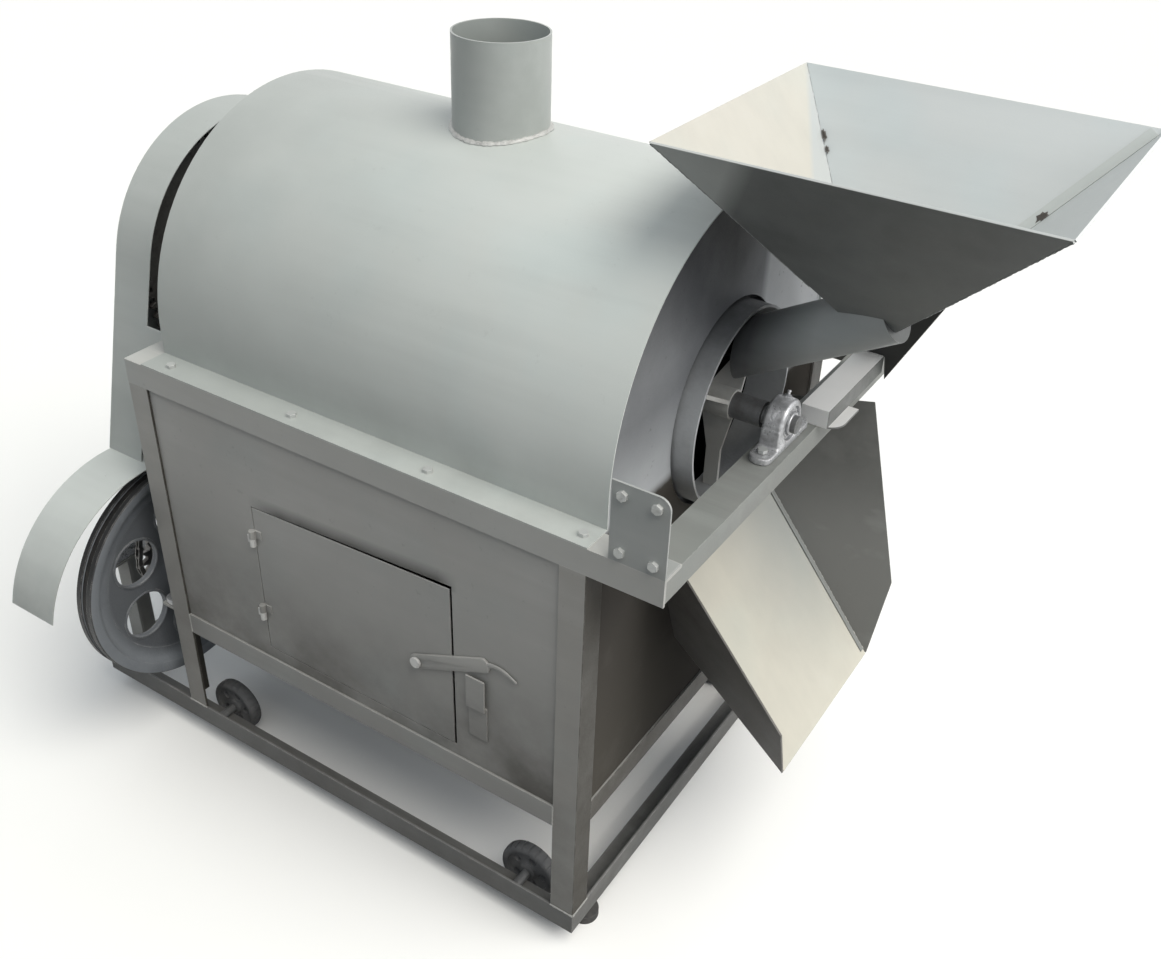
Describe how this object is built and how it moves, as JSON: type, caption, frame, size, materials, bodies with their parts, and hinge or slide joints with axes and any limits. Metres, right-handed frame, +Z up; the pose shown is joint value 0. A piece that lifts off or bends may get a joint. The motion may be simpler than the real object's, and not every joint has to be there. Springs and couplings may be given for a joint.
{
  "type": "nut roasting machine",
  "caption": "Wheeled drum roaster on an angle-iron frame: arched hood with flue, feed hopper, discharge chute, fire door, and a belt and chain drive at the back.",
  "frame": {"origin": "on the floor, below the middle of the whole machine's box", "axes": "+X along the drum towards its mouth, hopper and chute; -Y towards the fire door; +Z up"},
  "size_m": [1.4622, 0.9094, 1.2375],
  "materials": {
    "silver_paint": "satin silver-grey paint, brushed on, with scuffs",
    "frame_paint": "satin silver-grey paint on angle iron",
    "pale_paint": "fresh pale grey paint",
    "sooted_steel": "smoke-darkened sheet steel",
    "drum_steel": "heat-dulled bare sheet steel",
    "turned_steel": "turned bright steel",
    "bearing_metal": "bare cast housing with turned faces",
    "bolt_zinc": "dull zinc plate",
    "sprocket_steel": "oiled dark steel",
    "pulley_iron": "dark painted cast iron",
    "grate_iron": "burnt cast iron",
    "belt_rubber": "matt black",
    "wheel_rubber": "worn near-black",
    "foot_rubber": "dusty black",
    "motor_paint": "grey-blue enamel on a ribbed casting"
  },
  "bodies": {
    "frame": {"hood": "silver_paint", "hood_rear_plate": "silver_paint", "chain_cover": "silver_paint", "pulley_fender": "silver_paint", "chimney": "silver_paint", "corner_plates": "silver_paint", "hopper_near_wall": "silver_paint", "hopper_far_wall": "silver_paint", "hopper_drum_wall": "silver_paint", "hopper_outer_wall": "silver_paint", "chute_floor": "silver_paint", "chute_near_wall": "silver_paint", "chute_far_wall": "silver_paint", "near_panel": "silver_paint", "far_panel": "silver_paint", "drive_panel": "silver_paint", "latch_keeper": "silver_paint", "feed_pipe": "silver_paint", "hopper_support": "silver_paint", "legs": "frame_paint", "base_rails": "frame_paint", "base_end_rails": "frame_paint", "mid_rails": "frame_paint", "top_rails": "frame_paint", "mouth_crossbeam": "frame_paint", "drive_crossbeam": "frame_paint", "countershaft_stands": "frame_paint", "motor_base": "frame_paint", "door_hinge_posts": "frame_paint", "hopper_bracket": "pale_paint", "mouth_end_plate": "sooted_steel", "firebox_floor": "sooted_steel", "wheel_axles": "turned_steel", "mouth_bearing": "bearing_metal", "drive_bearings": "bearing_metal", "bolts": "bolt_zinc", "drive_chain": "sprocket_steel", "fire_grate": "grate_iron", "drive_belt": "belt_rubber", "parking_feet": "foot_rubber", "motor": "motor_paint"},
    "drum": {"drum_shell": "drum_steel", "drum_mouth_collar": "drum_steel", "drum_back_plate": "drum_steel", "drum_flights": "drum_steel", "drum_spider": "drum_steel", "drum_shaft": "turned_steel", "drum_sprocket": "sprocket_steel"},
    "countershaft_assembly": {"countershaft": "turned_steel", "large_pulley": "pulley_iron", "countershaft_sprocket": "sprocket_steel"},
    "motor_rotor": {"motor_shaft": "turned_steel", "motor_pulley": "pulley_iron"},
    "door": {"fire_door": "silver_paint", "latch_pivot": "turned_steel"},
    "latch": {"latch_bar": "silver_paint"},
    "wheel_near_mouth": {"wheel_near_mouth": "wheel_rubber"},
    "wheel_near_drive": {"wheel_near_drive": "wheel_rubber"},
    "wheel_far_mouth": {"wheel_far_mouth": "wheel_rubber"},
    "wheel_far_drive": {"wheel_far_drive": "wheel_rubber"}
  },
  "joints": [
    {"name": "drum_spin", "type": "hinge", "parent": "frame", "child": "drum", "pos_m": [0, 0.09447, 0.8015], "axis": [1, 0, 0], "continuous": true},
    {"name": "countershaft_spin", "type": "hinge", "parent": "frame", "child": "countershaft_assembly", "pos_m": [-0.61312, -0.18253, 0.314], "axis": [1, 0, 0], "continuous": true},
    {"name": "motor_spin", "type": "hinge", "parent": "frame", "child": "motor_rotor", "pos_m": [-0.56312, 0.29947, 0.138], "axis": [1, 0, 0], "continuous": true},
    {"name": "door_hinge", "type": "hinge", "parent": "frame", "child": "door", "pos_m": [-0.28312, -0.26153, 0.445], "axis": [0, 0, -1], "range_deg": [0, 110]},
    {"name": "latch_turn", "type": "hinge", "parent": "door", "child": "latch", "pos_m": [0.02888, -0.25753, 0.445], "axis": [0, -1, 0], "range_deg": [-24, 60]},
    {"name": "wheel_near_mouth_spin", "type": "hinge", "parent": "frame", "child": "wheel_near_mouth", "pos_m": [0.19088, -0.20353, 0.05], "axis": [0, 1, 0], "continuous": true},
    {"name": "wheel_near_drive_spin", "type": "hinge", "parent": "frame", "child": "wheel_near_drive", "pos_m": [-0.45712, -0.20353, 0.05], "axis": [0, 1, 0], "continuous": true},
    {"name": "wheel_far_mouth_spin", "type": "hinge", "parent": "frame", "child": "wheel_far_mouth", "pos_m": [0.19088, 0.39247, 0.05], "axis": [0, 1, 0], "continuous": true},
    {"name": "wheel_far_drive_spin", "type": "hinge", "parent": "frame", "child": "wheel_far_drive", "pos_m": [-0.45712, 0.39247, 0.05], "axis": [0, 1, 0], "continuous": true}
  ],
  "couplings": [
    {"joint": "countershaft_spin", "follows": "drum_spin", "ratio": 5},
    {"joint": "motor_spin", "follows": "drum_spin", "ratio": 26.277}
  ]
}
